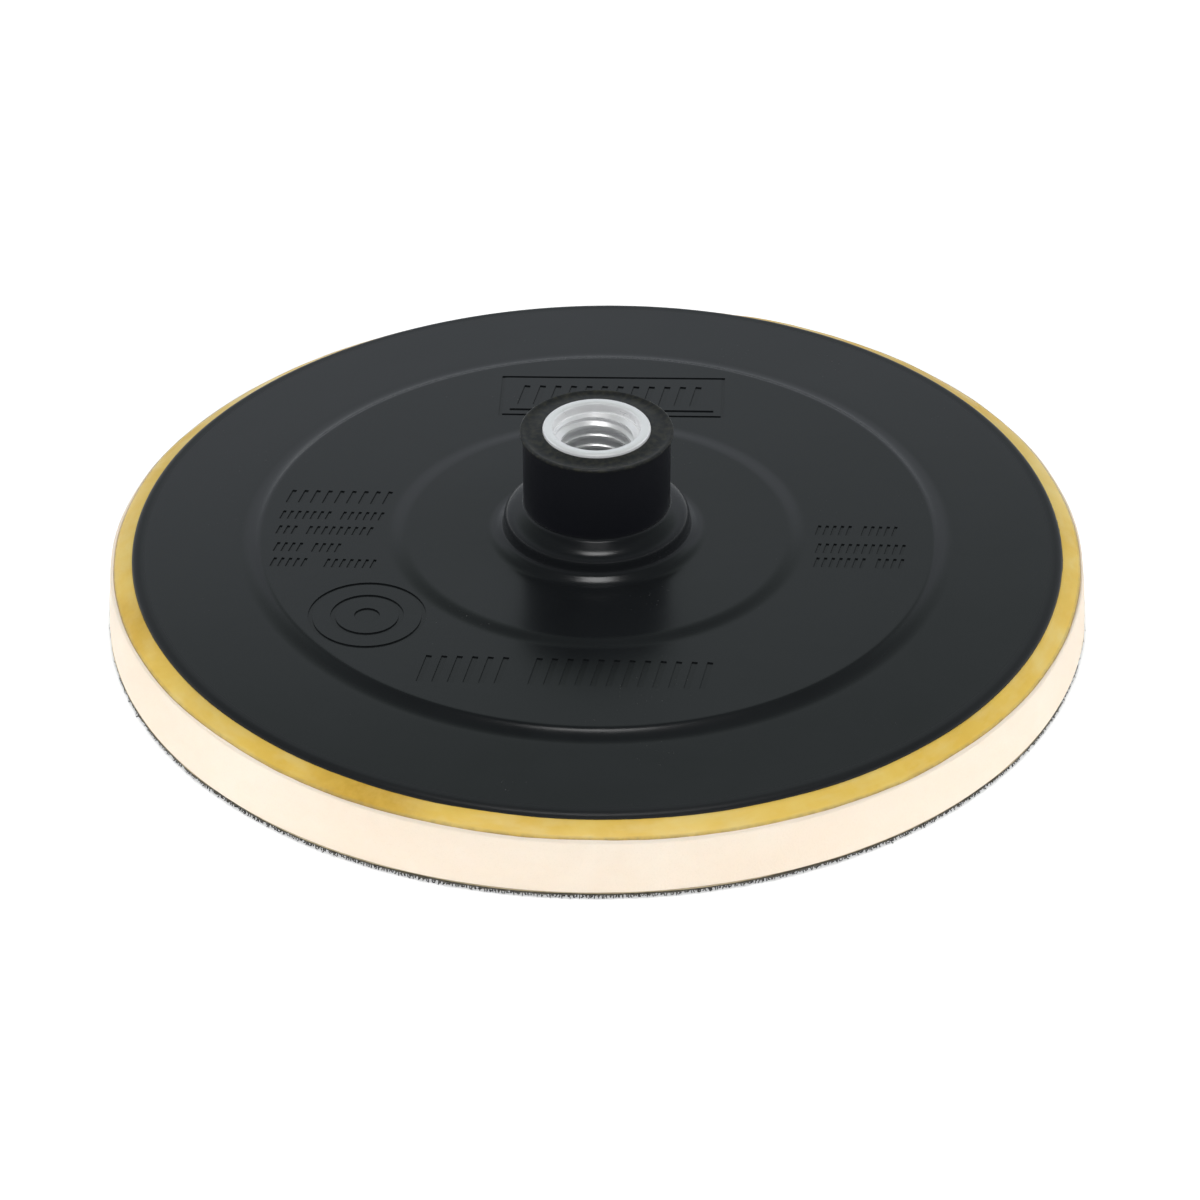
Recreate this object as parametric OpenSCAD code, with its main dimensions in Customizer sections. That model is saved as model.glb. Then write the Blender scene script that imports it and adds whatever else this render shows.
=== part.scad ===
// Hook-and-loop backing pad for a rotary polisher.
// A moulded plate with a threaded metal insert in its hub is bonded on a foam
// disc that carries a face of nylon hooks. The origin is the centre of the
// hook face, and +Z runs up the spindle axis. Millimetres.

/* [Pad] */
// Diameter of the hook face, the pad's nominal size
pad_d = 165; // [160:0.5:170]
// Diameter of the foam at the top of its side wall
foam_top_d = 163.6; // [162.8:0.1:164]
// Height of the top edge of the foam's side wall above the hook tips
foam_edge_z = 10.6; // [9.5:0.1:10.8]
// Height of the foam's flat top above the hook tips
foam_top_z = 12; // [11.9:0.05:12.1]

/* [Hook face] */
// Height of the nylon hooks
hook_h = 0.7; // [0.5:0.05:0.9]
// Thickness of the woven ground the hooks stand in
ground_t = 0.4; // [0.3:0.05:0.5]
// Thickness of the glue film between the ground and the foam
film_t = 0.2; // [0.1:0.05:0.3]

/* [Bond layer] */
// Thickness of the yellow bond layer under the plate
bond_t = 0.3; // [0.2:0.05:0.4]
// Radius where the bond layer ends on the foam's bevel
bond_r = 81.2; // [80.6:0.1:81.3]
// Thickness of the bond layer's outer edge
bond_edge_t = 0.3; // [0.2:0.05:0.35]

/* [Plate] */
// Diameter of the moulded plate
plate_d = 156.2; // [155.4:0.1:156.8]
// Width of the plate's drooping edge
plate_edge_w = 1.3; // [0.8:0.1:1.6]
// Height of the plate's drooping edge
plate_edge_h = 0.85; // [0.6:0.05:0.9]
// Height of the outer ring at the rim, above the hook tips
outer_z = 13.25; // [13.2:0.05:13.5]
// Rise of the outer ring from the rim to the step
outer_rise = 0.28; // [0.05:0.01:0.3]
// Radius at the foot of the outer step
step1_foot_r = 60.4; // [59.5:0.05:61]
// Radius at the top of the outer step
step1_top_r = 56.6; // [56:0.05:58]
// Height of the round edge at the top of the outer step
step1_edge_h = 0.22; // [0.1:0.01:0.3]
// Height of the middle ring above the hook tips
mid_z = 14.5; // [14.2:0.05:14.6]
// Radius where the inner disc starts to fade into the middle ring
step2_foot_r = 35.2; // [33.5:0.1:36]
// Radius of the inner disc's edge
step2_top_r = 32; // [31:0.1:33]
// Height of the inner disc above the hook tips
inner_z = 14.85; // [14.65:0.05:15]

/* [Hub] */
// Radius of the collar at its foot
collar_r = 15.6; // [15:0.05:15.8]
// Width of the fillet between the collar and the inner disc
collar_fillet = 2.7; // [1:0.1:3]
// Height of the fillet between the collar and the inner disc
collar_fillet_h = 2.2; // [1:0.1:2.4]
// Height where the collar's side starts to round over, above the hook tips
collar_z = 17.6; // [17.2:0.1:18.2]
// Height where the rounded collar meets the hub
shoulder_z = 20.3; // [20.2:0.05:20.9]
// Radius of the hub
hub_r = 12.3; // [12.1:0.05:12.5]
// Radius of the thin lip round the hub's top
lip_r = 12.75; // [12.6:0.05:12.9]
// Height of the hub's top above the hook tips
hub_z = 34.5; // [34:0.1:34.7]

/* [Threaded insert] */
// Outer radius of the insert
insert_r = 9; // [8.9:0.05:9.2]
// Height of the insert's rim above the hook tips
insert_z = 35.1; // [34.9:0.05:35.3]
// Height of the insert's lower end above the hook tips
insert_foot_z = 15; // [14.8:0.1:15.5]
// Bore radius at the crests of the M14 x 2 thread
thread_minor_r = 5.918; // [5.9:0.001:5.95]
// Radius of the thread's grooves, half of M14
thread_major_r = 7; // [6.95:0.05:7.05]
// Radius of the counterbore over the thread
counterbore_r = 7.3; // [7.15:0.05:7.5]
// Depth of the counterbore
counterbore_depth = 1.75; // [1.2:0.05:2.2]
// Corner radius of the buried hexagonal flange
flange_r = 12.8; // [11.5:0.1:13]
// Thickness of the buried flange
flange_t = 2.8; // [2:0.1:3]

/* [Hidden] */
$fn = 96;
pad_r = pad_d / 2;
ground_z = hook_h;
film_z = ground_z + ground_t;
foam_z = film_z + film_t;
foam_top_r = foam_top_d / 2;
plate_r = plate_d / 2;
plate_z = foam_top_z + bond_t;
mouth_z = insert_z - counterbore_depth;
flange_z = 16.6;
groove_r = 8.4;
groove_w = 1.5;
eps = 0.01;

// Height of the bevel round the plate at radius r
bevel_top_z = plate_z + 0.1;
function bevel_z(r) = foam_edge_z + (bevel_top_z - foam_edge_z) * (foam_top_r - r) / (foam_top_r - plate_r - 0.15);

// Half section of the plate, from its centre out along the underside and back up over the top
function plate_section() = concat(
    [[0, plate_z], [plate_r, plate_z]],
    [for (i = [0:6]) let (a = 15 * i)
        [plate_r - plate_edge_w + plate_edge_w * cos(a), outer_z - plate_edge_h + plate_edge_h * sin(a)]],
    // outer step, a long foot that steepens up to a short round edge
    [for (i = [0:7]) let (t = i / 7)
        [step1_foot_r + (step1_top_r + 0.5 - step1_foot_r) * t,
         outer_z + outer_rise + (mid_z - step1_edge_h - outer_z - outer_rise) * pow(t, 2.5)]],
    [for (t = [0.5, 1])
        [step1_top_r + 0.5 * (1 - t), mid_z - step1_edge_h * pow(1 - t, 1.9)]],
    // inner step, a soft S
    [for (i = [0:6]) let (t = i / 6)
        [step2_foot_r + (step2_top_r - step2_foot_r) * t, mid_z + (inner_z - mid_z) * (1 - cos(180 * t)) / 2]],
    // fillet up to the collar
    [for (a = [0:15:90])
        [collar_r + collar_fillet * (1 - sin(a)), inner_z + collar_fillet_h * (1 - cos(a))]],
    // collar, rounding over into a slope that ends at the hub
    [for (i = [0:9]) let (a = 84 * i / 9)
        [hub_r + 0.3 + (collar_r - hub_r - 0.3) * cos(a), collar_z + (shoulder_z - collar_z) * sin(a)]],
    [[hub_r, shoulder_z + 0.3]],
    // hub and its lip
    [[hub_r, hub_z - 0.75], [lip_r, hub_z - 0.5], [lip_r, hub_z - 0.1], [lip_r - 0.1, hub_z], [0, hub_z]]);

// The outside of the insert, which is also the space it fills in the plate
module insert_body() {
    difference() {
        union() {
            translate([0, 0, insert_foot_z])
                cylinder(r = insert_r, h = insert_z - insert_foot_z - 0.4);
            translate([0, 0, insert_z - 0.4])
                cylinder(r1 = insert_r, r2 = insert_r - 0.4, h = 0.4);
            translate([0, 0, flange_z])
                cylinder(r = flange_r, h = flange_t, $fn = 6);
        }
        // locking grooves
        for (z = [23, 28])
            translate([0, 0, z])
                difference() {
                    cylinder(r = insert_r + 1, h = groove_w);
                    translate([0, 0, -eps]) cylinder(r = groove_r, h = groove_w + 2 * eps);
                }
    }
}

// Metal bush with the spindle thread, moulded into the hub
module threaded_insert() {
    color([0.80, 0.81, 0.83])
    difference() {
        insert_body();
        // the thread, held at its crests
        translate([0, 0, insert_foot_z - 1])
            cylinder(r = thread_minor_r, h = mouth_z - insert_foot_z + 1 + eps);
        // lead-in at the start of the thread
        translate([0, 0, mouth_z - (thread_major_r - thread_minor_r)])
            cylinder(r1 = thread_minor_r, r2 = thread_major_r, h = thread_major_r - thread_minor_r);
        // counterbore
        translate([0, 0, mouth_z])
            cylinder(r = counterbore_r, h = counterbore_depth + 1);
    }
}

// Black moulded plate and hub in one piece
module backing_plate() {
    color([0.09, 0.10, 0.11])
    difference() {
        rotate_extrude() polygon(plate_section());
        insert_body();
    }
}

// Yellow bond layer between plate and foam, which runs down the bevel round the plate
module bond_layer() {
    color([0.90, 0.75, 0.38])
    rotate_extrude()
        polygon([[0, foam_top_z], [plate_r - 0.15, foam_top_z],
                 [bond_r, bevel_z(bond_r) - bond_edge_t],
                 [bond_r, bevel_z(bond_r)],
                 [plate_r + 0.15, bevel_top_z], [plate_r, bevel_top_z],
                 [plate_r, plate_z], [0, plate_z]]);
}

// Cream foam disc
module foam_disc() {
    color([0.98, 0.93, 0.86])
    rotate_extrude()
        polygon([[0, foam_z], [pad_r, foam_z], [foam_top_r, foam_edge_z],
                 [bond_r, bevel_z(bond_r)],
                 [bond_r, bevel_z(bond_r) - bond_edge_t],
                 [plate_r - 0.15, foam_top_z], [0, foam_top_z]]);
}

// Glue film that holds the hook fabric on the foam
module hook_glue_film() {
    color([0.75, 0.70, 0.60])
    translate([0, 0, film_z]) cylinder(r = pad_r - 0.1, h = film_t);
}

// Woven ground of the hook fabric
module hook_ground() {
    color([0.10, 0.10, 0.11])
    translate([0, 0, ground_z]) cylinder(r = pad_r, h = ground_t);
}

// Field of nylon hooks that the pad stands on, as one layer
module hook_pile() {
    color([0.13, 0.13, 0.14])
    cylinder(r = pad_r, h = hook_h);
}

threaded_insert();
backing_plate();
bond_layer();
foam_disc();
hook_glue_film();
hook_ground();
hook_pile();
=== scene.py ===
import math

import bmesh
import bpy
import numpy as np
from mathutils import Matrix, Vector

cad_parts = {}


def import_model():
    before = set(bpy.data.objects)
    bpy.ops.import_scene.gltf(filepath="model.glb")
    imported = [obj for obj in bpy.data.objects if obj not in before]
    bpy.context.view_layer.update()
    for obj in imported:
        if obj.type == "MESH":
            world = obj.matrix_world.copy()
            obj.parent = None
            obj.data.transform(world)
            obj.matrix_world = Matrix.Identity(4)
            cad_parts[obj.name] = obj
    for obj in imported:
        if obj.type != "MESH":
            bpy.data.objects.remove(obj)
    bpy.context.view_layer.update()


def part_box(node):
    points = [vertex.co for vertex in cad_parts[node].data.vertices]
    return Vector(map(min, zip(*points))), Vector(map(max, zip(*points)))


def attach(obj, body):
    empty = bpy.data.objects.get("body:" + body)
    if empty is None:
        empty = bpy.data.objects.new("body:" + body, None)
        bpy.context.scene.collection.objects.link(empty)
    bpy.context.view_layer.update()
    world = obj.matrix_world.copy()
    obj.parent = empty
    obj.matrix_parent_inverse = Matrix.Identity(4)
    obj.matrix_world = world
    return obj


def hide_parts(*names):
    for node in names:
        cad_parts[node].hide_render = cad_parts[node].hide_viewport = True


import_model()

MM = 0.001

# ---------------------------------------------------------------- places, from the CAD
plate_low, plate_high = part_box("backing_plate")
insert_low, insert_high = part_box("threaded_insert")
bond_low, bond_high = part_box("bond_layer")
foam_low, foam_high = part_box("foam_disc")
film_low, film_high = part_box("hook_glue_film")
ground_low, ground_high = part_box("hook_ground")
pile_low, pile_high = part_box("hook_pile")

PAD_R = round(foam_high[0] * 1000, 2)        # 82.5
PLATE_R = round(plate_high[0] * 1000, 2)     # 77.9
PLATE_Z = round(plate_low[2] * 1000, 2)      # 12.3, the plate's underside
HUB_Z = round(plate_high[2] * 1000, 2)       # 34.5
INS_Z0 = round(insert_low[2] * 1000, 2)      # 15.0
INS_Z1 = round(insert_high[2] * 1000, 2)     # 35.1
FOAM_Z0 = round(foam_low[2] * 1000, 2)       # 1.3
FOAM_Z1 = round(foam_high[2] * 1000, 2)      # 12.0
FOAM_TOP_R, FOAM_EDGE_Z = 81.8, 10.6         # top of the foam's side wall
EDGE_R = round(bond_high[0] * 1000, 2)       # 81.2, where the bond ends on the bevel
EDGE_Z = 10.9
INNER_Z, MID_Z, OUTER_Z = 14.85, 14.5, 13.25

# ---------------------------------------------------------------- mesh helpers


def tau_angles(n):
    return np.arange(n) * (2 * math.pi / n)


def new_object(name, verts_mm, faces, sharp_deg=32.0):
    me = bpy.data.meshes.new(name)
    me.from_pydata((np.asarray(verts_mm, float) * MM).tolist(), [], faces)
    me.validate()
    me.polygons.foreach_set("use_smooth", [True] * len(me.polygons))
    if sharp_deg is not None:
        me.set_sharp_from_angle(angle=math.radians(sharp_deg))
    me.update()
    ob = bpy.data.objects.new(name, me)
    bpy.context.scene.collection.objects.link(ob)
    return ob


def lathe_rows(rows, n):
    """Vertices and faces of a turned body. rows run from the axis at the bottom out, up and back to the axis at the top: each is (r, z) or a pair of arrays over the angles. A row with r 0 is one point."""
    t = tau_angles(n)
    c, s = np.cos(t), np.sin(t)
    verts, index = [], []
    for r, z in rows:
        if np.isscalar(r) and r == 0:
            index.append([len(verts)] * n)
            verts.append((0.0, 0.0, float(np.mean(z))))
        else:
            r, z = np.broadcast_to(r, n), np.broadcast_to(z, n)
            index.append(list(range(len(verts), len(verts) + n)))
            verts.extend(zip(r * c, r * s, z))
    faces = []
    for a, b in zip(index, index[1:]):
        for i in range(n):
            j = (i + 1) % n
            f = [a[i], a[j], b[j], b[i]]
            f = [v for k, v in enumerate(f) if v != f[k - 1]]
            if len(f) >= 3:
                faces.append(f)
    return verts, faces


def arc(cx, cz, r, a0, a1, n):
    return [
        (cx + r * math.cos(math.radians(a0 + (a1 - a0) * i / n)),
         cz + r * math.sin(math.radians(a0 + (a1 - a0) * i / n)))
        for i in range(n + 1)
    ]


def line(a, b, n):
    return [(a[0] + (b[0] - a[0]) * i / n, a[1] + (b[1] - a[1]) * i / n) for i in range(n + 1)]


def curve_through(points, n):
    """A smooth line through the points, n steps to each stretch."""
    p = np.asarray(points, float)
    q = np.vstack([2 * p[0] - p[1], p, 2 * p[-1] - p[-2]])
    out = []
    for i in range(1, len(q) - 2):
        for k in range(n):
            u = k / n
            a = 2 * q[i]
            b = q[i + 1] - q[i - 1]
            c = 2 * q[i - 1] - 5 * q[i] + 4 * q[i + 1] - q[i + 2]
            d = 3 * q[i] - 3 * q[i + 1] + q[i + 2] - q[i - 1]
            out.append(tuple(0.5 * (a + b * u + c * u * u + d * u ** 3)))
    out.append(tuple(p[-1]))
    return out


def wave(t, seed, orders, amount):
    """A smooth closed wave round the circle, the same one each run."""
    rng = np.random.default_rng(seed)
    out = np.zeros_like(t)
    for k in orders:
        out += rng.normal() * np.cos(k * t + rng.uniform(0, 2 * math.pi)) / math.sqrt(len(orders))
    return out * amount


def near_angle(t, deg, width):
    d = np.degrees(np.abs((t - math.radians(deg) + math.pi) % (2 * math.pi) - math.pi))
    return np.exp(-((d / width) ** 2))


# ---------------------------------------------------------------- materials


def material(name):
    m = bpy.data.materials.new(name)
    m.use_nodes = True
    nt = m.node_tree
    nt.nodes.clear()
    out = nt.nodes.new("ShaderNodeOutputMaterial")
    p = nt.nodes.new("ShaderNodeBsdfPrincipled")
    nt.links.new(p.outputs[0], out.inputs["Surface"])
    co = nt.nodes.new("ShaderNodeTexCoord")
    return m, nt, p, co.outputs["Object"]


def node(nt, kind, **inputs):
    n = nt.nodes.new("ShaderNode" + kind)
    for k, v in inputs.items():
        if hasattr(n, k):
            setattr(n, k, v)
        else:
            s = n.inputs[k.replace("_", " ")]
            if isinstance(v, bpy.types.NodeSocket):
                nt.links.new(v, s)
            else:
                s.default_value = v
    return n


def noise(nt, vec, scale, detail=3.0, rough=0.55, distortion=0.0):
    n = nt.nodes.new("ShaderNodeTexNoise")
    n.inputs["Scale"].default_value = scale
    n.inputs["Detail"].default_value = detail
    n.inputs["Roughness"].default_value = rough
    n.inputs["Distortion"].default_value = distortion
    nt.links.new(vec, n.inputs["Vector"])
    return n.outputs["Fac"]


def ramp(nt, fac, stops, interpolation="LINEAR"):
    r = nt.nodes.new("ShaderNodeValToRGB")
    r.color_ramp.interpolation = interpolation
    e = r.color_ramp.elements
    while len(e) < len(stops):
        e.new(0.5)
    for k, (pos, col) in zip(e, stops):
        k.position = pos
        k.color = (*col, 1.0) if len(col) == 3 else col
    nt.links.new(fac, r.inputs["Fac"])
    return r.outputs["Color"]


def remap(nt, value, a, b, c, d):
    n = nt.nodes.new("ShaderNodeMapRange")
    nt.links.new(value, n.inputs["Value"])
    for k, v in zip(("From Min", "From Max", "To Min", "To Max"), (a, b, c, d)):
        n.inputs[k].default_value = v
    return n.outputs["Result"]


def mathn(nt, op, a, b=None, c=None):
    n = nt.nodes.new("ShaderNodeMath")
    n.operation = op
    for s, v in zip(n.inputs, (a, b, c)):
        if v is None:
            continue
        if isinstance(v, (int, float)):
            s.default_value = v
        else:
            nt.links.new(v, s)
    return n.outputs[0]


def mix(nt, fac, a, b):
    n = nt.nodes.new("ShaderNodeMix")
    n.data_type = "RGBA"
    for s, v in ((n.inputs[0], fac), (n.inputs[6], a), (n.inputs[7], b)):
        if isinstance(v, (int, float)):
            s.default_value = v
        elif isinstance(v, tuple):
            s.default_value = (*v, 1.0)
        else:
            nt.links.new(v, s)
    return n.outputs[2]


def bump(nt, height, strength, distance_mm, normal=None):
    b = nt.nodes.new("ShaderNodeBump")
    b.inputs["Strength"].default_value = strength
    b.inputs["Distance"].default_value = distance_mm * MM
    nt.links.new(height, b.inputs["Height"])
    if normal is not None:
        nt.links.new(normal, b.inputs["Normal"])
    return b.outputs[0]


def split(nt, vec):
    s = nt.nodes.new("ShaderNodeSeparateXYZ")
    nt.links.new(vec, s.inputs[0])
    return s.outputs


def radius_of(nt, xyz):
    a = mathn(nt, "MULTIPLY", xyz[0], xyz[0])
    b = mathn(nt, "MULTIPLY", xyz[1], xyz[1])
    return mathn(nt, "SQRT", mathn(nt, "ADD", a, b))


def stretched(nt, vec, scale):
    m = nt.nodes.new("ShaderNodeMapping")
    m.inputs["Scale"].default_value = scale
    nt.links.new(vec, m.inputs["Vector"])
    return m.outputs[0]


def link(nt, a, p, name):
    nt.links.new(a, p.inputs[name])


def plate_material():
    m, nt, p, co = material("moulded_black")
    # flow marks and handling haze in a black moulding
    broad = noise(nt, co, 38.0, 4.0, 0.6, 0.4)
    fine = noise(nt, co, 900.0, 3.0, 0.6)
    col = ramp(nt, broad, [(0.30, (0.0085, 0.0094, 0.0106)), (0.72, (0.0115, 0.0126, 0.0140))])
    dust = ramp(nt, noise(nt, co, 2600.0, 1.0, 0.4), [(0.755, (0, 0, 0)), (0.785, (1, 1, 1))])
    sparse = ramp(nt, noise(nt, co, 60.0, 2.0, 0.5), [(0.60, (0, 0, 0)), (0.70, (1, 1, 1))])
    specks = mathn(nt, "MULTIPLY", dust, sparse)
    # the hub's wall came out of the mould duller than the plate, and its colour is painted darker and bluer there:
    # painted shade on the upright wall
    xyz = split(nt, co)
    wall = mathn(nt, "MULTIPLY", remap(nt, radius_of(nt, xyz), 12.9 * MM, 13.3 * MM, 1.0, 0.0), remap(nt, xyz[2], 20.8 * MM, 21.2 * MM, 0.0, 1.0))
    wall = mathn(nt, "MULTIPLY", wall, remap(nt, xyz[2], 33.8 * MM, 33.95 * MM, 1.0, 0.0))
    col = mix(nt, wall, col, (0.0060, 0.0064, 0.0088))
    # painted sheen: the lip and the top round the metal are painted lighter in mottled patches
    scuff_and_sheen = mathn(nt, "MULTIPLY", remap(nt, radius_of(nt, xyz), 12.95 * MM, 13.1 * MM, 1.0, 0.0), remap(nt, xyz[2], 33.85 * MM, 34.0 * MM, 0.0, 1.0))
    sheen_mottle = ramp(nt, noise(nt, co, 1100.0, 3.0, 0.6), [(0.42, (0, 0, 0)), (0.68, (1, 1, 1))])
    col = mix(nt, mathn(nt, "MULTIPLY", mathn(nt, "MULTIPLY", scuff_and_sheen, sheen_mottle), 0.50), col, (0.055, 0.052, 0.036))
    link(nt, mix(nt, mathn(nt, "MULTIPLY", specks, 0.35), col, (0.16, 0.16, 0.15)), p, "Base Color")
    r = remap(nt, broad, 0.3, 0.75, 0.20, 0.26)
    r = mathn(nt, "ADD", r, mathn(nt, "MULTIPLY", specks, 0.2))
    r = mathn(nt, "ADD", r, mathn(nt, "MULTIPLY", wall, 0.16))
    # the rim and the lip are rubbed dull
    rim = remap(nt, radius_of(nt, xyz), 75.8 * MM, 77.0 * MM, 0.0, 1.0)
    r = mathn(nt, "ADD", r, mathn(nt, "MULTIPLY", mathn(nt, "MAXIMUM", rim, scuff_and_sheen), 0.20))
    link(nt, r, p, "Roughness")
    link(nt, bump(nt, fine, 0.10, 0.02, bump(nt, broad, 0.10, 0.25)), p, "Normal")
    p.inputs["IOR"].default_value = 1.45
    p.inputs["Specular IOR Level"].default_value = 0.33
    return m


def metal_material():
    m, nt, p, co = material("turned_aluminium")
    xyz = split(nt, co)
    r = radius_of(nt, xyz)
    # tool marks: rings on the faces, lines round the walls
    comb = nt.nodes.new("ShaderNodeCombineXYZ")
    nt.links.new(mathn(nt, "MULTIPLY", r, 9000.0), comb.inputs[0])
    nt.links.new(mathn(nt, "MULTIPLY", xyz[2], 9000.0), comb.inputs[1])
    rings = noise(nt, comb.outputs[0], 1.0, 2.0, 0.5)
    blotch = noise(nt, co, 420.0, 3.0, 0.6)
    link(nt, ramp(nt, blotch, [(0.25, (0.93, 0.925, 0.93)), (0.75, (0.98, 0.975, 0.98))]), p, "Base Color")
    link(nt, remap(nt, mathn(nt, "ADD", blotch, mathn(nt, "MULTIPLY", rings, 0.4)), 0.4, 1.0, 0.26, 0.37), p, "Roughness")
    link(nt, bump(nt, rings, 0.06, 0.02), p, "Normal")
    p.inputs["Metallic"].default_value = 0.42
    return m


def bond_material():
    m, nt, p, co = material("yellow_bond")
    broad = noise(nt, co, 55.0, 4.0, 0.62, 0.6)
    fine = noise(nt, co, 700.0, 4.0, 0.6)
    streak = noise(nt, stretched(nt, co, (160.0, 160.0, 900.0)), 1.0, 3.0, 0.55)
    col = ramp(nt, broad, [(0.28, (0.90, 0.65, 0.175)), (0.50, (0.86, 0.57, 0.105)), (0.72, (0.79, 0.49, 0.062))])
    col = mix(nt, remap(nt, streak, 0.45, 0.8, 0.0, 0.45), col, (0.90, 0.72, 0.33))
    # thicker, darker runs of glue
    xyz = split(nt, co)
    for x, y, wide, much in ((-36.5, -71.5, 12.0, 1.0), (-77.0, -24.0, 10.0, 0.5), (60.0, 53.0, 9.0, 0.35), (22.0, 77.0, 12.0, 0.6)):
        dx = mathn(nt, "DIVIDE", mathn(nt, "SUBTRACT", xyz[0], x * MM), wide * MM)
        dy = mathn(nt, "DIVIDE", mathn(nt, "SUBTRACT", xyz[1], y * MM), wide * MM)
        d = mathn(nt, "ADD", mathn(nt, "MULTIPLY", dx, dx), mathn(nt, "MULTIPLY", dy, dy))
        f = mathn(nt, "MULTIPLY", mathn(nt, "SUBTRACT", 1.0, mathn(nt, "MINIMUM", d, 1.0)), much)
        f = mathn(nt, "MULTIPLY", f, remap(nt, fine, 0.3, 0.7, 0.55, 1.0))
        col = mix(nt, f, col, (0.62, 0.36, 0.035))
    # painted shade where it ends on the foam: a darker band along the join
    join_shade = mathn(nt, "MULTIPLY", remap(nt, radius_of(nt, xyz), 80.75 * MM, 81.15 * MM, 0.0, 1.0), remap(nt, fine, 0.35, 0.65, 0.35, 0.8))
    col = mix(nt, join_shade, col, (0.42, 0.31, 0.13))
    link(nt, col, p, "Base Color")
    link(nt, remap(nt, broad, 0.3, 0.7, 0.34, 0.52), p, "Roughness")
    link(nt, bump(nt, fine, 0.35, 0.06, bump(nt, broad, 0.35, 0.35)), p, "Normal")
    p.inputs["Subsurface Weight"].default_value = 0.12
    p.inputs["Subsurface Scale"].default_value = 0.0012
    p.inputs["Subsurface Radius"].default_value = (1.0, 0.7, 0.3)
    return m


def foam_material():
    m, nt, p, co = material("cream_foam")
    cells = nt.nodes.new("ShaderNodeTexVoronoi")
    cells.inputs["Scale"].default_value = 2600.0
    nt.links.new(co, cells.inputs["Vector"])
    broad = noise(nt, co, 45.0, 4.0, 0.6, 0.3)
    mid = noise(nt, stretched(nt, co, (110.0, 110.0, 420.0)), 1.0, 4.0, 0.6)
    col = ramp(nt, broad, [(0.30, (0.91, 0.765, 0.62)), (0.70, (0.945, 0.82, 0.69))])
    col = mix(nt, remap(nt, mid, 0.52, 0.80, 0.0, 0.35), col, (0.90, 0.77, 0.62))
    # painted shade in the open cells: their hollows are a little darker than their walls
    col = mix(nt, remap(nt, cells.outputs["Distance"], 0.0, 0.35, 0.16, 0.0), col, (0.70, 0.57, 0.43))
    link(nt, col, p, "Base Color")
    p.inputs["Roughness"].default_value = 0.86
    p.inputs["Specular IOR Level"].default_value = 0.25
    link(nt, bump(nt, cells.outputs["Distance"], 0.30, 0.10, bump(nt, mid, 0.25, 0.15)), p, "Normal")
    p.inputs["Subsurface Weight"].default_value = 0.18
    p.inputs["Subsurface Scale"].default_value = 0.002
    p.inputs["Subsurface Radius"].default_value = (1.0, 0.75, 0.55)
    return m


def film_material():
    m, nt, p, co = material("glue_film")
    n = noise(nt, co, 320.0, 4.0, 0.6)
    link(nt, ramp(nt, n, [(0.3, (0.34, 0.27, 0.16)), (0.7, (0.56, 0.47, 0.31))]), p, "Base Color")
    link(nt, remap(nt, n, 0.3, 0.7, 0.35, 0.6), p, "Roughness")
    link(nt, bump(nt, n, 0.4, 0.08), p, "Normal")
    return m


def ground_material():
    m, nt, p, co = material("woven_nylon")
    xyz = split(nt, co)
    # plain weave, 0.55 mm between yarns
    wx = mathn(nt, "SINE", mathn(nt, "MULTIPLY", xyz[0], 2 * math.pi / (1.1 * MM)))
    wy = mathn(nt, "SINE", mathn(nt, "MULTIPLY", xyz[1], 2 * math.pi / (1.1 * MM)))
    weave = mathn(nt, "MULTIPLY", wx, wy)
    fuzz = noise(nt, co, 2400.0, 3.0, 0.6)
    h = mathn(nt, "ADD", mathn(nt, "MULTIPLY", weave, 0.5), fuzz)
    col = ramp(nt, remap(nt, h, -0.2, 1.2, 0.0, 1.0), [(0.2, (0.010, 0.010, 0.010)), (0.8, (0.045, 0.044, 0.043))])
    # the cut edge is painted paler, a tan colour, in places
    edge = mathn(nt, "MULTIPLY", remap(nt, radius_of(nt, xyz), 81.9 * MM, 82.3 * MM, 0.0, 1.0), remap(nt, fuzz, 0.35, 0.62, 0.25, 0.95))
    link(nt, mix(nt, edge, col, (0.095, 0.083, 0.057)), p, "Base Color")
    p.inputs["Roughness"].default_value = 0.78
    p.inputs["Sheen Weight"].default_value = 0.25
    p.inputs["Sheen Roughness"].default_value = 0.4
    link(nt, bump(nt, h, 0.7, 0.12), p, "Normal")
    return m


def hook_material():
    m, nt, p, co = material("hook_nylon")
    n = noise(nt, co, 150.0, 2.0, 0.5)
    f = noise(nt, co, 3000.0, 2.0, 0.5)
    link(nt, ramp(nt, n, [(0.3, (0.012, 0.012, 0.011)), (0.7, (0.026, 0.025, 0.023))]), p, "Base Color")
    link(nt, remap(nt, f, 0.3, 0.7, 0.28, 0.42), p, "Roughness")
    return m


# ---------------------------------------------------------------- threaded insert


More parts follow.
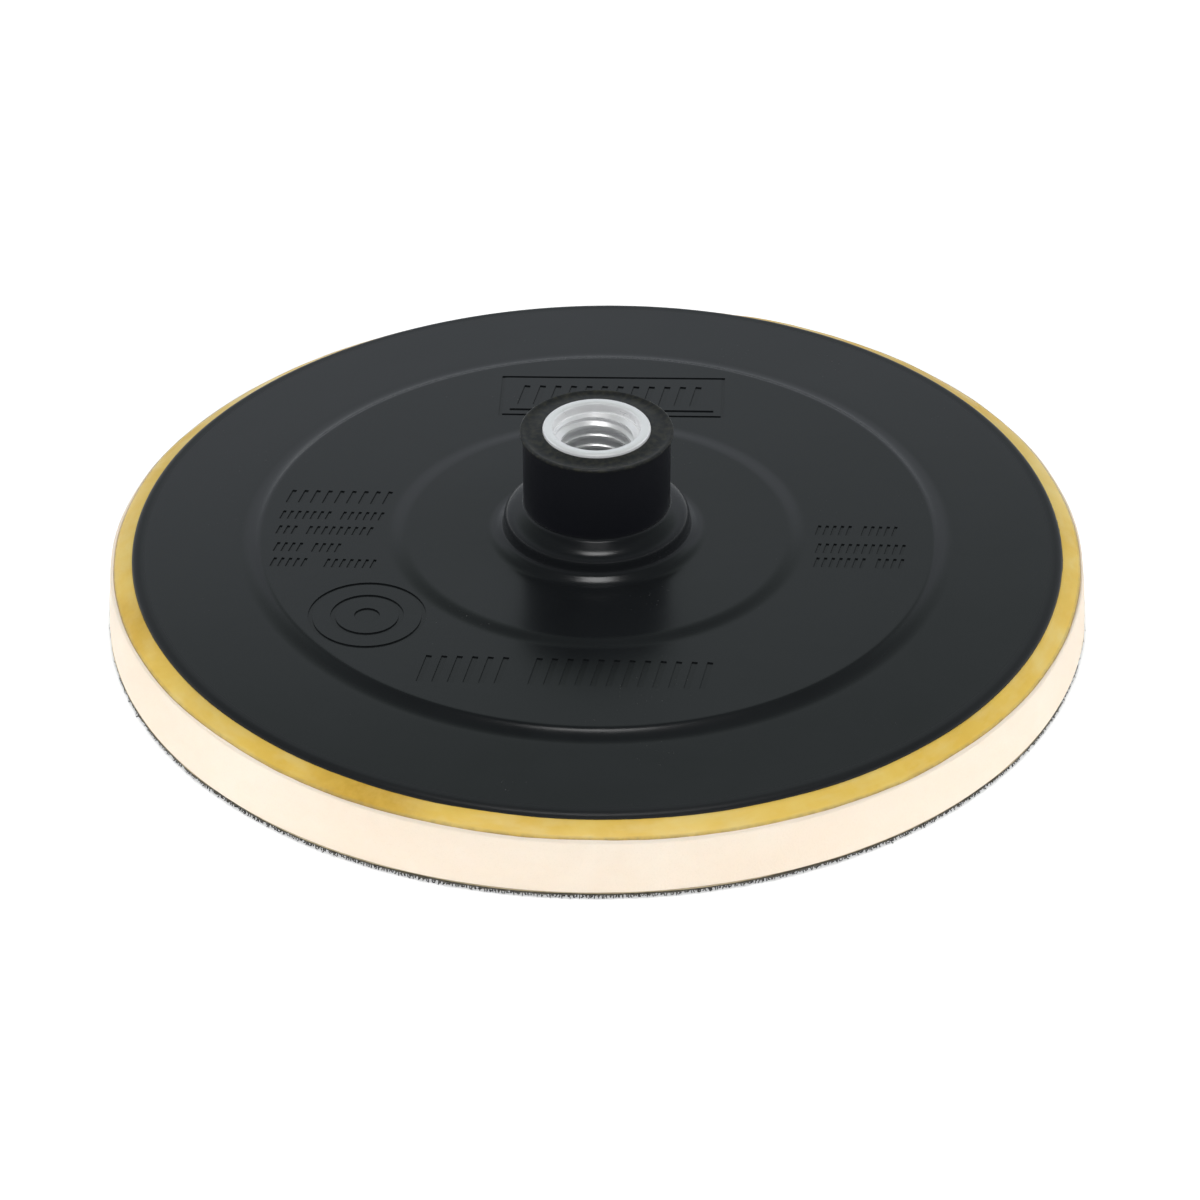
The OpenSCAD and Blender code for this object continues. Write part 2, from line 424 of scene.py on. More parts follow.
def build_insert():
    n, pitch, per = 160, 2.0, 16
    start = -0.12                            # where round the bore the thread starts
    r_minor, r_major = 5.918, 7.0
    top = INS_Z1 - 1.75
    bottom = INS_Z0

    def thread_r(phase):
        f = np.mod(phase, 1.0)
        depth = np.where(f < 0.25, 0.0, np.where(f < 0.5625, (f - 0.25) / 0.3125, np.where(f < 0.6875, 1.0, (1.0 - f) / 0.3125)))
        return r_minor + (r_major - r_minor) * np.clip(depth, 0, 1)

    # the internal thread, on rows that climb with the helix
    t = tau_angles(n)
    rows_needed = int(math.ceil((top - bottom + pitch) / pitch * per)) + 1
    verts, index = [], {}
    for j in range(rows_needed + 1):
        z = top + pitch * t / (2 * math.pi) - j * pitch / per
        r = thread_r(np.full(n, j / per + start))
        zc = np.clip(z, bottom, top)
        # at an end the row is held, so its radius is what the thread has at that height
        held = z != zc
        r = np.where(held, thread_r((top + pitch * t / (2 * math.pi) - zc) / pitch + start), r)
        r = np.maximum(r, r_minor + np.clip(zc - (top - (r_major - r_minor)), 0, None))
        r = np.maximum(r, r_minor + np.clip((bottom + (r_major - r_minor)) - zc, 0, None))
        for i in range(n):
            index[j, i] = len(verts)
            verts.append((r[i] * math.cos(t[i]), r[i] * math.sin(t[i]), zc[i]))
    faces = []
    for j in range(rows_needed):
        for i in range(n):
            if i < n - 1:
                a, b, c, d = index[j, i], index[j, i + 1], index[j + 1, i + 1], index[j + 1, i]
            else:
                a, d = index[j, i], index[j + 1, i]
                b, c = index[max(j - per, 0), 0], index[max(j + 1 - per, 0), 0]
            quad = [b, c, d, a]
            quad = [v for k, v in enumerate(quad) if v != quad[k - 1]]
            if len(quad) >= 3:
                faces.append(quad)
    # the outside, from the thread's foot round to its top
    prof = [(r_major, bottom), (INS_R - 0.3, bottom), (INS_R, bottom + 0.3)]
    hex_rows = []
    prof += [(INS_R, 16.6)]
    flange0 = len(prof)
    prof += [("hex", 16.6), ("hex", 19.4), (INS_R, 19.4)]
    for z in (23.0, 28.0):
        prof += [(INS_R, z), (8.4, z), (8.4, z + 1.5), (INS_R, z + 1.5)]
    prof += [(INS_R, INS_Z1 - 0.42), (INS_R - 0.05, INS_Z1 - 0.22), (INS_R - 0.20, INS_Z1 - 0.06), (INS_R - 0.38, INS_Z1)]
    prof += [(7.62, INS_Z1), (7.42, INS_Z1 - 0.07), (7.32, INS_Z1 - 0.20), (7.3, INS_Z1 - 0.40)]
    prof += [(7.3, top + 0.12), (7.24, top + 0.02), (r_major, top)]
    hexr = 12.8 * math.cos(math.pi / 6) / np.cos(np.mod(t, math.pi / 3) - math.pi / 6)
    rows = [(hexr if isinstance(r, str) else r, z) for r, z in prof]
    lv, lf = lathe_rows(rows, n)
    base = len(verts)
    verts += lv
    faces += [[base + v for v in f] for f in lf]
    ob = new_object("threaded_insert_turned", verts, faces, None)
    me = ob.data
    bm = bmesh.new()
    bm.from_mesh(me)
    bmesh.ops.remove_doubles(bm, verts=bm.verts, dist=0.004 * MM)
    bmesh.ops.dissolve_degenerate(bm, edges=bm.edges, dist=0.0005 * MM)
    bmesh.ops.recalc_face_normals(bm, faces=bm.faces)
    bm.to_mesh(me)
    bm.free()
    me.polygons.foreach_set("use_smooth", [True] * len(me.polygons))
    me.set_sharp_from_angle(angle=math.radians(24))
    me.materials.append(metal_material())
    return ob


INS_R = 9.0

# ---------------------------------------------------------------- moulded plate


def plate_rows(n):
    t = tau_angles(n)
    # the rim is a little out of true, as these flexible plates are
    rim_r = wave(t, 11, (2, 3, 5), 0.06)
    burr = np.abs(wave(t, 12, tuple(range(60, 140, 7)), 0.05)) * (wave(t, 13, (3, 5, 9, 14), 1.0) > 0.6)
    rim_z = wave(t, 14, (2, 3, 4), 0.05)
    rows = [(0, PLATE_Z), (20.0, PLATE_Z), (60.0, PLATE_Z), (PLATE_R - 0.6, PLATE_Z)]
    rows.append((PLATE_R - 0.12 + rim_r, np.full(n, PLATE_Z + 0.0)))
    rows.append((PLATE_R + rim_r + burr, PLATE_Z + 0.10))
    # a drooping edge, 1.3 mm wide and 0.85 mm high
    for k in range(13):
        a = math.radians(90 * k / 12)
        f = 1 - k / 12
        rows.append((PLATE_R - 1.3 + 1.3 * math.cos(a) + rim_r * (0.4 + 0.6 * f) + burr * max(0, f - 0.6), OUTER_Z - 0.85 + 0.85 * math.sin(a) ** 0.9 + rim_z))
    fade = [0.85, 0.7, 0.5, 0.3, 0.12, 0.0]
    for f, r in zip(fade, (76.3, 75.2, 73.0, 69.0, 65.0, 61.4)):
        rows.append((r, OUTER_Z + (76.8 - r) * 0.28 / 16.4 + rim_z * f))
    # outer step: a long foot that steepens up to a crisp upper edge
    for i in range(19):
        u = i / 18
        rows.append((60.2 - 3.1 * u, OUTER_Z + 0.28 + (MID_Z - 0.22 - OUTER_Z - 0.28) * u ** 2.35))
    for i in range(1, 9):
        u = 1 - i / 8
        rows.append((56.4 + 0.7 * u, MID_Z - 0.22 * u ** 1.8))
    # middle ring, with guard rows so that its shading stays flat
    for r in (56.1, 55.6, 54.0, 50.0, 46.0, 42.0, 38.0, 36.2, 35.6):
        rows.append((r, MID_Z))
    # inner step: a fade with a crisp upper edge
    for i in range(9):
        u = i / 8
        rows.append((35.2 - 3.2 * u, MID_Z + (INNER_Z - MID_Z) * (u * u * (3 - 2 * u)) ** 1.1))
    for r in (31.7, 31.0, 28.0, 24.0, 20.5, 18.6):
        rows.append((r, INNER_Z))
    z0 = INNER_Z
    # collar
    rows += curve_through([(18.3, z0), (17.8, 14.90), (17.3, 15.03), (16.85, 15.24), (16.4, 15.53), (15.98, 15.83), (15.74, 16.18), (15.63, 16.65)], 3)[:-1]
    rows += curve_through([(15.63, 16.65), (15.60, 17.25), (15.58, 17.7), (15.51, 18.15), (15.35, 18.56), (15.10, 18.92), (14.76, 19.24), (14.32, 19.54), (13.82, 19.80), (13.32, 20.02), (12.86, 20.20)], 3)
    rows += arc(12.3 + 0.5, 20.26 + 0.5, 0.5, 254, 180, 7)
    # hub and its lip
    rows += [(12.3, 21.6), (12.3, 25.0), (12.3, 30.0), (12.3, 33.5), (12.3, 33.86), (12.36, 33.93), (12.66, 33.97), (12.74, 34.02)]
    rows += [(12.77, 34.10), (12.77, 34.32), (12.74, 34.42), (12.66, 34.48), (12.5, 34.50)]
    # the top is dished, and stands a little higher round the metal
    rows += [(12.3, 34.47), (12.05, 34.36), (11.7, 34.27), (11.3, 34.24), (10.8, 34.26), (10.3, 34.32), (9.8, 34.41), (9.4, 34.48), (9.15, 34.50), (INS_R, 34.50)]
    # the seat round the insert
    rows += [(INS_R, 29.5), (8.4, 29.5), (8.4, 28.0), (INS_R, 28.0), (INS_R, 24.5), (8.4, 24.5), (8.4, 23.0), (INS_R, 23.0), (INS_R, 19.4)]
    hexr = 12.8 * math.cos(math.pi / 6) / np.cos(np.mod(t, math.pi / 3) - math.pi / 6)
    rows += [(hexr, 19.4), (hexr, 16.6), (INS_R, 16.6), (INS_R, 15.0), (0, 15.0)]
    return rows


def strip(path, closed, width, z0, z1, edge=0.12, draft=0.04):
    """A raised line along path, in plan: flat top, rounded edges, steep sides, closed underneath. Returns vertices and faces."""
    p = np.asarray(path, float)
    ahead = np.roll(p, -1, 0) - p
    if not closed:
        ahead[-1] = ahead[-2]
    ahead /= np.linalg.norm(ahead, axis=1)[:, None]
    behind = np.roll(ahead, 1, 0)
    if not closed:
        behind[0] = ahead[0]
    d = ahead + behind
    d /= np.linalg.norm(d, axis=1)[:, None]
    # wider across a corner, so that the line keeps its width
    side = np.stack([-d[:, 1], d[:, 0]], 1) / np.sum(d * ahead, axis=1)[:, None]
    w = width / 2
    across = [-w - draft, -w, -w + edge, w - edge, w, w + draft]
    zs = [z0, z1 - edge * 0.8, z1, z1, z1 - edge * 0.8, z0]
    stations = []
    if closed:
        stations = [(p[i], side[i], 3) for i in range(len(p))]
    else:
        a, b = p[0], p[-1]
        stations.append((a - d[0] * draft, side[0], 0))
        stations.append((a, side[0], 1))
        stations.append((a + d[0] * edge, side[0], 3))
        for i in range(1, len(p) - 1):
            stations.append((p[i], side[i], 3))
        stations.append((b - d[-1] * edge, side[-1], 3))
        stations.append((b, side[-1], 1))
        stations.append((b + d[-1] * draft, side[-1], 0))
    verts = []
    for q, s, level in stations:
        cap = {0: z0, 1: z1 - edge * 0.8, 3: z1}[level]
        for k in range(6):
            x = q + s * across[k]
            verts.append((x[0], x[1], min(zs[k], cap)))
    m = len(stations)
    faces = []
    for i in range(m if closed else m - 1):
        j = (i + 1) % m
        for k in range(5):
            faces.append([i * 6 + k, j * 6 + k, j * 6 + k + 1, i * 6 + k + 1][::-1])
        if closed:
            faces.append([i * 6, j * 6, j * 6 + 5, i * 6 + 5])
    if not closed:
        rim = [i * 6 for i in range(m)] + [(m - 1) * 6 + k for k in range(1, 5)] + [i * 6 + 5 for i in reversed(range(m))] + [k for k in (4, 3, 2, 1)]
        faces.append(rim)
    return verts, faces


def block(outline, z0, z1, edge=0.12):
    """A raised flat shape with the given convex outline."""
    p = np.asarray(outline, float)
    c = p.mean(0)
    r = np.linalg.norm(p - c, axis=1).mean()
    rings = [(1.03, z0), (1.0, z1 - edge * 0.8), (1 - edge / r, z1)]
    verts, m = [], len(p)
    for s, z in rings:
        verts += [((c + (q - c) * s)[0], (c + (q - c) * s)[1], z) for q in p]
    faces = []
    for a in range(2):
        for i in range(m):
            j = (i + 1) % m
            faces.append([a * m + i, a * m + j, (a + 1) * m + j, (a + 1) * m + i])
    faces.append([2 * m + i for i in range(m)])
    faces.append([i for i in reversed(range(m))])
    return verts, faces


def plate_marks():
    """Plain raised marks on the middle ring: rows of hatching where the real plate has its captions, two plain rings round a button, and an empty frame. None of them is lettering."""
    rng = np.random.default_rng(7)
    z0, z1 = MID_Z - 0.2, MID_Z + 0.17
    low = MID_Z + 0.10
    parts = []

    def hatch(x0, x1, y0, y1, pitch, width, lean=0.22, gaps=()):
        x = x0 + width / 2
        dx = (y1 - y0) * lean
        while x + dx <= x1 + 1e-6:
            if not any(a <= x <= b for a, b in gaps):
                parts.append(strip([(x, y0), (x + dx, y1)], False, width, z0, z1, min(0.09, width * 0.18)))
            x += pitch

    # left rows
    hatch(-53.2, -34.3, 6.95, 10.95, 2.05, 0.72)
    hatch(-53.8, -35.2, 1.8, 4.35, 1.28, 0.50, gaps=((-44.6, -43.4),))
    hatch(-54.0, -37.0, -2.9, -0.35, 1.28, 0.50, gaps=((-50.0, -48.8),))
    hatch(-53.9, -41.8, -8.3, -5.6, 1.28, 0.50, gaps=((-48.6, -47.4),))
    hatch(-54.0, -35.9, -12.9, -10.3, 1.28, 0.50, gaps=((-47.4, -46.0),))
    # right rows
    hatch(36.6, 51.4, -0.15, 2.75, 1.28, 0.52, gaps=((42.6, 43.8),))
    hatch(36.6, 52.8, -5.6, -2.7, 1.28, 0.52)
    hatch(36.3, 52.2, -9.8, -6.95, 1.28, 0.52, gaps=((44.4, 45.6),))
    # long row at the front
    hatch(-27.3, -12.0, -45.4, -38.0, 2.5, 0.95, 0.16)
    hatch(-9.4, 21.2, -45.4, -38.0, 2.5, 0.95, 0.16)
    # two plain rings round a button
    cx, cy, R = -36.6, -26.9, 9.3
    a = tau_angles(72)
    parts.append(strip(np.stack([cx + R * np.cos(a), cy + R * np.sin(a)], 1), True, 0.75, z0, low + 0.03, 0.08))
    parts.append(strip(np.stack([cx + 5.6 * np.cos(a), cy + 5.6 * np.sin(a)], 1), True, 0.85, z0, low + 0.02, 0.08))
    parts.append(block([(cx + 2.1 * math.cos(k), cy + 2.1 * math.sin(k)) for k in tau_angles(24)], z0, low + 0.03, 0.08))
    # frame at the back, with a line under it
    x0, x1, y0, y1 = -18.4, 20.5, 36.9, 49.7
    parts.append(strip([(x0, y0), (x1, y0), (x1, y1), (x0, y1)], True, 0.55, z0, low, 0.06))
    parts.append(strip([(x0 + 1.6, y0 + 1.7), (x1 - 1.6, y0 + 1.7)], False, 0.7, z0, low, 0.06))
    hatch(-15.6, 18.2, 40.4, 46.8, 2.75, 1.05, 0.16)
    # the whole group is turned a little on the plate
    turn = math.radians(-2.3)
    c, s = math.cos(turn), math.sin(turn)
    verts, faces = [], []
    for v, f in parts:
        base = len(verts)
        verts += [(x * c - y * s, x * s + y * c, z) for x, y, z in v]
        faces += [[base + k for k in g] for g in f]
    return verts, faces


def face_outward(me):
    bm = bmesh.new()
    bm.from_mesh(me)
    bmesh.ops.recalc_face_normals(bm, faces=bm.faces)
    bm.to_mesh(me)
    bm.free()


def build_plate():
    n = 384
    v, f = lathe_rows(plate_rows(n), n)
    ob = new_object("backing_plate_moulded", v, f, None)
    mv, mf = plate_marks()
    marks = new_object("plate_marks_tool", mv, mf, None)
    face_outward(marks.data)
    mod = ob.modifiers.new("join", "BOOLEAN")
    mod.operation, mod.solver, mod.object = "UNION", "EXACT", marks
    bpy.context.view_layer.update()
    dg = bpy.context.evaluated_depsgraph_get()
    me = bpy.data.meshes.new_from_object(ob.evaluated_get(dg))
    ob.modifiers.clear()
    ob.data = me
    bpy.data.objects.remove(marks)
    me.polygons.foreach_set("use_smooth", [True] * len(me.polygons))
    me.set_sharp_from_angle(angle=math.radians(28))
    me.materials.clear()
    me.materials.append(plate_material())
    print("plate faces", len(me.polygons))
    return ob


# ---------------------------------------------------------------- bond layer and foam, cut by hand


def cut_edge(t):
    """Where the bond layer ends on the foam's bevel: radius and height round the pad."""
    z = EDGE_Z + wave(t, 21, (2, 3, 4), 0.10) + wave(t, 22, (7, 11, 16, 23, 31), 0.07) + wave(t, 23, tuple(range(45, 120, 9)), 0.03)
    r = EDGE_R + wave(t, 24, (2, 3, 5), 0.05) + wave(t, 25, (9, 14, 21, 33), 0.04)
    return r, z


def build_bond():
    n = 512
    t = tau_angles(n)
    r1, z1 = cut_edge(t)
    lump = wave(t, 31, (12, 19, 27, 38, 52), 0.05)
    top = PLATE_Z + 0.08 + wave(t, 32, (3, 5, 8, 13, 21), 0.04)
    rows = [(0, FOAM_Z1), (40.0, FOAM_Z1), (PLATE_R - 0.15, FOAM_Z1)]
    rows.append((r1 - 0.02, z1 - 0.30))
    rows.append((r1, z1 - 0.06))
    rows.append((r1 - 0.06, z1 + 0.03))
    for i in range(1, 9):
        u = i / 9
        crown = 0.10 * math.sin(math.pi * u)
        rows.append((r1 + (PLATE_R + 0.12 - r1) * u, z1 + 0.03 + (top - z1 - 0.03) * u + crown + lump * math.sin(math.pi * u)))
    rows.append((PLATE_R + 0.12, top))
    rows.append((PLATE_R - 0.25, top + 0.02))
    rows += [(PLATE_R - 0.3, PLATE_Z), (40.0, PLATE_Z), (0, PLATE_Z)]
    v, f = lathe_rows(rows, n)
    ob = new_object("bond_layer_bevel", v, f, 40)
    ob.data.materials.append(bond_material())
    return ob


def build_foam():
    n = 512
    t = tau_angles(n)
    r1, z1 = cut_edge(t)
    bottom = PAD_R - 0.05 + wave(t, 41, (2, 3, 5, 8), 0.04)
    top_r = FOAM_TOP_R + wave(t, 42, (2, 3, 5), 0.05) + wave(t, 43, (9, 14, 21, 33), 0.04)
    top_z = FOAM_EDGE_Z + wave(t, 44, (2, 3, 4), 0.06) + wave(t, 45, (7, 11, 16, 23, 31), 0.05)
    rows = [(0, FOAM_Z0), (40.0, FOAM_Z0), (PAD_R - 1.0, FOAM_Z0), (bottom - 0.12, FOAM_Z0), (bottom, FOAM_Z0 + 0.12)]
    steps = 14
    for i in range(1, steps):
        u = i / steps
        side = wave(t, 50 + i // 3, (9, 17, 26), 0.012)
        rows.append((bottom + (top_r - bottom) * u + side + 0.08 * math.sin(math.pi * u), FOAM_Z0 + 0.12 + (top_z - 0.30 - FOAM_Z0 - 0.12) * u))
    rows += [(top_r - 0.01, top_z - 0.28), (top_r - 0.05, top_z - 0.12), (top_r - 0.16, top_z - 0.01), (top_r - 0.30, top_z + 0.06)]
    rows += [(r1 + 0.14, z1 - 0.07), (r1 + 0.03, z1 - 0.16), (r1 - 0.02, z1 - 0.30)]
    rows += [(PLATE_R - 0.15, FOAM_Z1), (40.0, FOAM_Z1), (0, FOAM_Z1)]
    v, f = lathe_rows(rows, n)
    ob = new_object("foam_disc_cut", v, f, 40)
    ob.data.materials.append(foam_material())
    return ob


def build_film():
    n = 360
    t = tau_angles(n)
    z0, z1 = film_low[2] * 1000, film_high[2] * 1000
    r = PAD_R - 0.12 + wave(t, 61, (5, 9, 16, 27, 41), 0.08)
    rows = [(0, z0), (40.0, z0), (PAD_R - 1.2, z0), (r - 0.05, z0), (r, (z0 + z1) / 2), (r - 0.05, z1), (PAD_R - 1.2, z1), (40.0, z1), (0, z1)]
    v, f = lathe_rows(rows, n)
    ob = new_object("hook_glue_film_cut", v, f, 40)
    ob.data.materials.append(film_material())
    return ob


def tube(path, radius, sides, verts, faces, tip=1.0):
    """Adds a closed thin tube along path."""
    p = np.asarray(path, float)
    d = np.gradient(p, axis=0)
    d /= np.linalg.norm(d, axis=1)[:, None]
    ref = np.array([0.0, 0.0, 1.0]) if abs(d[0][2]) < 0.7 else np.array([1.0, 0.0, 0.0])
    u = np.cross(d[0], ref)
    u /= np.linalg.norm(u)
    base, m = len(verts), len(p)
    for i in range(m):
        u = u - d[i] * (u @ d[i])
        u /= np.linalg.norm(u)
        w = np.cross(d[i], u)
        rr = radius * (tip if i == m - 1 else 1.0)
        for k in range(sides):
            a = 2 * math.pi * k / sides
            verts.append(tuple(p[i] + rr * (math.cos(a) * u + math.sin(a) * w)))
    for i in range(m - 1):
        for k in range(sides):
            j = (k + 1) % sides
            faces.append([base + i * sides + k, base + i * sides + j, base + (i + 1) * sides + j, base + (i + 1) * sides + k])
    faces.append([base + k for k in reversed(range(sides))])
    faces.append([base + (m - 1) * sides + k for k in range(sides)])


def build_ground():
    n = 900
    t = tau_angles(n)
    z0, z1 = ground_low[2] * 1000, ground_high[2] * 1000
    rng = np.random.default_rng(71)
    frayed = PAD_R - 0.10 + wave(t, 72, (3, 5, 9), 0.05) + rng.uniform(-0.16, 0.12, n)
    rows = [(0, z0), (40.0, z0), (PAD_R - 1.0, z0), (frayed - 0.10, z0), (frayed, z0 + 0.12), (frayed - 0.03, z1 - 0.08), (frayed - 0.12, z1), (PAD_R - 1.0, z1), (40.0, z1), (0, z1)]
    v, f = lathe_rows(rows, n)
    # cut yarn ends along the edge
    for k in range(520):
        a = rng.uniform(0, 2 * math.pi)
        lean, out, drop = rng.normal(0, 0.35), rng.uniform(0.08, 0.42), rng.uniform(-0.28, 0.10)
        c, s = math.cos(a), math.sin(a)
        q = []
        for u in (0.0, 0.5, 1.0):
            r = PAD_R - 0.25 + out * u + 0.10
            side = lean * u * u
            q.append((r * c - side * s, r * s + side * c, (z0 + z1) / 2 + rng.uniform(-0.03, 0.03) + drop * u))
        tube(q, rng.uniform(0.035, 0.06), 4, v, f, 0.6)
    ob = new_object("hook_ground_woven", v, f, 50)
    ob.data.materials.append(ground_material())
    return ob


def build_hooks():
    rng = np.random.default_rng(81)
    verts, faces = [], []
    top = pile_high[2] * 1000
    profile = np.array([(0.0, top + 0.04), (0.0, 0.34), (0.09, 0.14), (0.25, 0.095), (0.36, 0.25)])
    row = 0
    y = -PAD_R
    while y < PAD_R:
        x = -PAD_R + (0.85 if row % 2 else 0.0)
        while x < PAD_R:
            px, py = x + rng.uniform(-0.18, 0.18), y + rng.uniform(-0.14, 0.14)
            x += 1.80
            if math.hypot(px, py) > PAD_R - 0.12:
                continue
            edge = math.hypot(px, py) > PAD_R - 1.6
            turn = (0.0 if row % 2 else math.pi) + rng.normal(0, 0.9 if edge else 0.28)
            c, s = math.cos(turn), math.sin(turn)
            size = rng.uniform(0.9, 1.05)
            q = [(px + h * size * c, py + h * size * s, max(z, 0.09) if z < top else z) for h, z in profile]
            tube(q, 0.085, 4, verts, faces, 0.7)
        y += 2.05
        row += 1
    # the cut edge shows a dense ragged fringe
    for ring, count, reach in ((PAD_R - 0.45, 1100, 0.30), (PAD_R - 0.75, 800, 0.25)):
        for k in range(count):
            a = 2 * math.pi * (k + rng.uniform(-0.35, 0.35)) / count
            turn = a + rng.normal(0, 0.9) + (math.pi if rng.random() < 0.35 else 0)
            c, s = math.cos(turn), math.sin(turn)
            r0 = ring + rng.uniform(-0.10, 0.10)
            size = rng.uniform(0.7, 1.0) * reach / 0.36
            q = [(r0 * math.cos(a) + h * size * c, r0 * math.sin(a) + h * size * s, max(z, 0.085) if z < top else z) for h, z in profile]
            tube(q, rng.uniform(0.07, 0.095), 4, verts, faces, 0.7)
    ob = new_object("hook_pile_field", verts, faces, None)
    ob.data.materials.append(hook_material())
    print("hook faces", len(faces))
    return ob


def warp(ob):
    """The pad isn't quite flat: plate and foam are twisted a little, up at the back right and down at the back left. The hub and the hook face stay true."""
    me = ob.data
    co = np.empty(len(me.vertices) * 3)
    me.vertices.foreach_get("co", co)
    co = co.reshape(-1, 3)
    x, y, z = co[:, 0] / 0.08, co[:, 1] / 0.08, co[:, 2] / MM
    r = np.hypot(co[:, 0], co[:, 1]) / MM
    s = np.clip((r - 18.0) / 16.0, 0, 1)
    s = s * s * (3 - 2 * s)
    edge = 1 + 0.35 * np.clip((r - PLATE_R - 0.2) / 3.0, 0, 1)
    lift = (1.10 * x * y + 0.20 * (x * x - y * y)) * s * edge * np.clip((z - FOAM_Z0) / (FOAM_Z1 - FOAM_Z0), 0, 1)
    co[:, 2] += lift * MM
    me.vertices.foreach_set("co", co.ravel())
    me.update()


insert = build_insert()
plate = build_plate()
bond = build_bond()
foam = build_foam()
film = build_film()
ground = build_ground()
hooks = build_hooks()
for piece in (plate, bond, foam):
    warp(piece)

for piece, cad, slot in (
    (insert, "threaded_insert", "insert_metal"),
    (plate, "backing_plate", "plate_plastic"),
    (bond, "bond_layer", "bond_yellow"),
    (foam, "foam_disc", "foam_cream"),
    (film, "hook_glue_film", "glue_film"),
    (ground, "hook_ground", "hook_fabric"),
    (hooks, "hook_pile", "hook_nylon"),
):
    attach(piece, "root")
    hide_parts(cad)

# ---------------------------------------------------------------- studio


def stage_floor():
    me = bpy.data.meshes.new("studio_floor")
    s, z = 3.0, -0.00005
    me.from_pydata([(-s, -s, z), (s, -s, z), (s, s, z), (-s, s, z)], [], [(0, 1, 2, 3)])
    ob = bpy.data.objects.new("studio_floor", me)
    bpy.context.scene.collection.objects.link(ob)
    m = bpy.data.materials.new("pale_floor")
    m.use_nodes = True
    p = m.node_tree.nodes["Principled BSDF"]
    p.inputs["Base Color"].default_value = (0.93, 0.93, 0.93, 1)
    p.inputs["Roughness"].default_value = 0.9
    p.inputs["Specular IOR Level"].default_value = 0.0
    p.inputs["Emission Color"].default_value = (1, 1, 1, 1)
    p.inputs["Emission Strength"].default_value = 0.46
    me.materials.append(m)


def area_light(name, place, aim, size_x, size_y, watts, colour=(1, 1, 1)):
    d = bpy.data.lights.new(name, "AREA")
    d.shape, d.size, d.size_y, d.energy, d.color = "RECTANGLE", size_x, size_y, watts, colour
    ob = bpy.data.objects.new(name, d)
    ob.location = place
    ob.rotation_euler = (Vector(aim) - Vector(place)).to_track_quat("-Z", "Y").to_euler()
    bpy.context.scene.collection.objects.link(ob)
    return ob


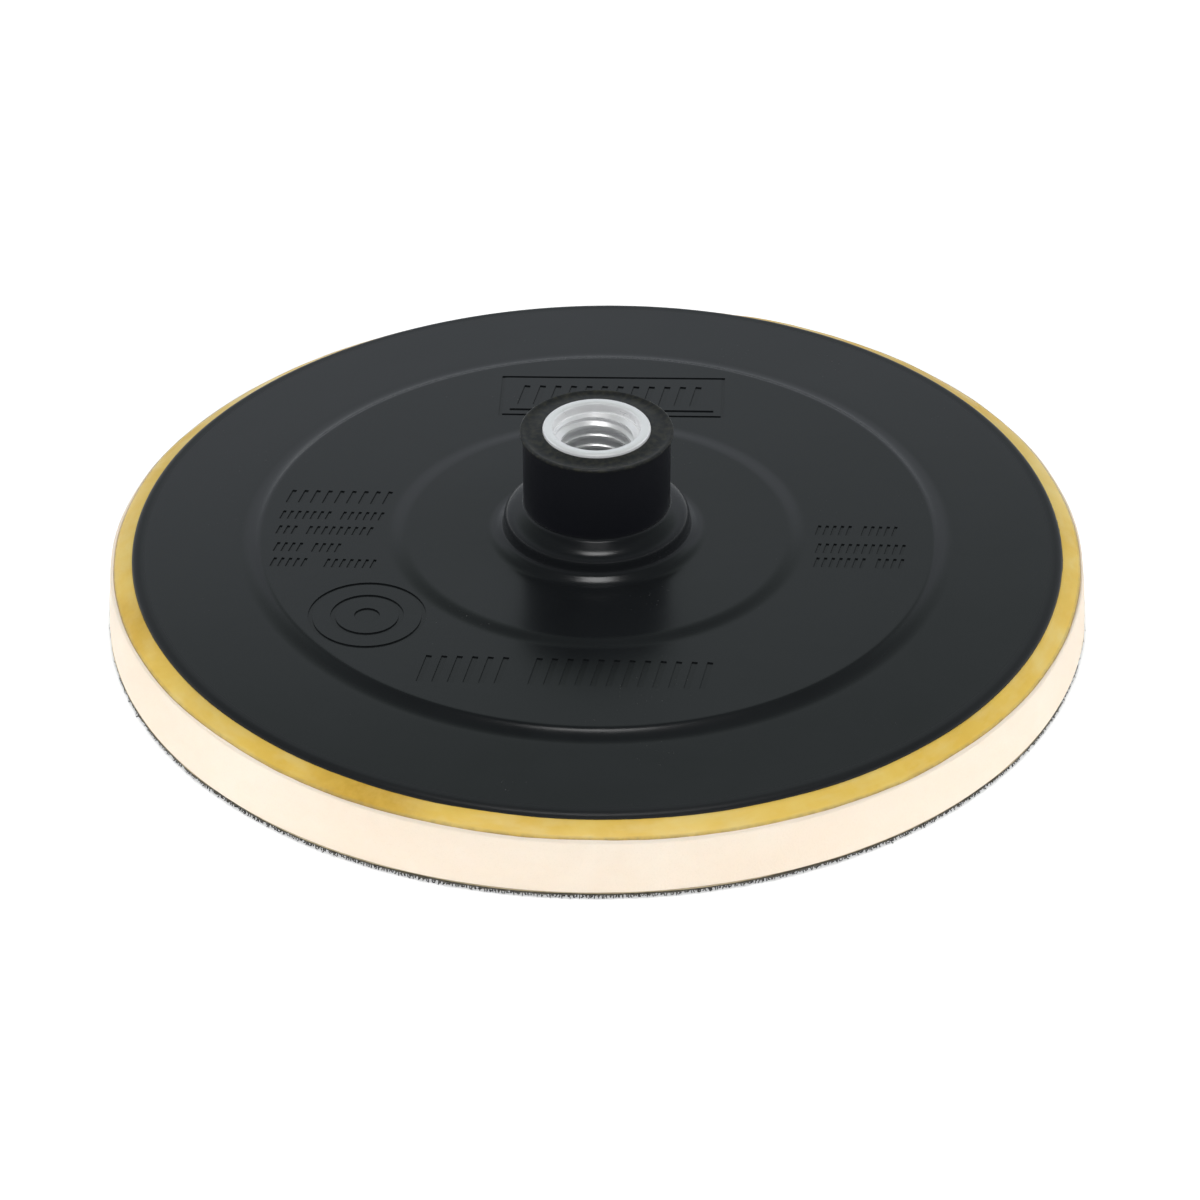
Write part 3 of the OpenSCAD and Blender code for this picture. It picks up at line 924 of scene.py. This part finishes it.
def world():
    w = bpy.data.worlds.new("studio")
    bpy.context.scene.world = w
    w.use_nodes = True
    nt = w.node_tree
    nt.nodes.clear()
    out = nt.nodes.new("ShaderNodeOutputWorld")
    bg = nt.nodes.new("ShaderNodeBackground")
    co = nt.nodes.new("ShaderNodeTexCoord")
    sep = nt.nodes.new("ShaderNodeSeparateXYZ")
    nt.links.new(co.outputs["Generated"], sep.inputs[0])
    r = nt.nodes.new("ShaderNodeValToRGB")
    e = r.color_ramp.elements
    stops = [(0.0, 0.50), (0.50, 0.48), (0.65, 0.50), (0.715, 0.62), (0.745, 0.80), (0.765, 0.68), (0.785, 0.52), (0.805, 0.46), (0.84, 0.26), (0.90, 0.12), (1.0, 0.10)]
    while len(e) < len(stops):
        e.new(0.5)
    for k, (pos, v) in zip(e, stops):
        k.position = pos
        k.color = (v * 0.94, v, v * 1.07, 1) if pos < 0.775 else (v * 0.90, v * 1.04, v * 0.99, 1)
    half = nt.nodes.new("ShaderNodeMath")
    half.operation = "MULTIPLY_ADD"
    half.inputs[1].default_value = 0.5
    half.inputs[2].default_value = 0.5
    nt.links.new(sep.outputs[2], half.inputs[0])
    nt.links.new(half.outputs[0], r.inputs["Fac"])
    bg.inputs["Strength"].default_value = 1.12
    # the room is darker on the camera's side
    side = nt.nodes.new("ShaderNodeMapRange")
    side.inputs["From Min"].default_value = -0.35
    side.inputs["From Max"].default_value = 0.40
    side.inputs["To Min"].default_value = 0.42
    side.inputs["To Max"].default_value = 1.0
    nt.links.new(sep.outputs[1], side.inputs["Value"])
    dim = nt.nodes.new("ShaderNodeVectorMath")
    dim.operation = "SCALE"
    nt.links.new(r.outputs["Color"], dim.inputs[0])
    nt.links.new(side.outputs["Result"], dim.inputs["Scale"])
    nt.links.new(dim.outputs["Vector"], bg.inputs["Color"])
    nt.links.new(bg.outputs[0], out.inputs["Surface"])


stage_floor()
world()
# overhead softbox, a little to the camera's side
area_light("key_softbox", (0.0, -0.25, 1.10), (0, 0, 0.01), 0.36, 0.30, 3.9)
# broad fills that soften the shade without adding glints
for fill in (
    area_light("left_fill", (-1.3, -0.3, 0.45), (0, 0, 0.01), 0.8, 0.5, 6.4),
    area_light("right_fill", (1.3, -0.3, 0.45), (0, 0, 0.01), 0.8, 0.5, 6.4),
    area_light("front_fill", (0.0, -1.5, 0.45), (0, 0, 0.01), 1.0, 0.4, 4.4),
):
    fill.visible_glossy = False

# ---------------------------------------------------------------- camera
DIST, FOCAL_PX = 760.0, 4511.6
ELEV, PITCH, YAW, ROLL = (math.radians(a) for a in (33.223, -33.982, 0.043, -0.154))
forward = Vector((math.sin(YAW) * math.cos(PITCH), math.cos(YAW) * math.cos(PITCH), math.sin(PITCH)))
right = forward.cross(Vector((0, 0, 1))).normalized()
up = right.cross(forward)
right2 = right * math.cos(ROLL) + up * math.sin(ROLL)
up2 = -right * math.sin(ROLL) + up * math.cos(ROLL)
cam_data = bpy.data.cameras.new("camera")
cam_data.sensor_width = 36.0
cam_data.lens = FOCAL_PX / 1200 * 36
cam_data.clip_start, cam_data.clip_end = 0.05, 20
cam = bpy.data.objects.new("camera", cam_data)
m = Matrix((right2, up2, -forward)).transposed().to_4x4()
m.translation = Vector((0, -DIST * math.cos(ELEV), DIST * math.sin(ELEV) + 12.55)) * MM
cam.matrix_world = m
bpy.context.scene.collection.objects.link(cam)
bpy.context.scene.camera = cam

bpy.context.scene.view_settings.view_transform = "Standard"
bpy.context.scene.view_settings.look = "None"

bpy.context.view_layer.update()
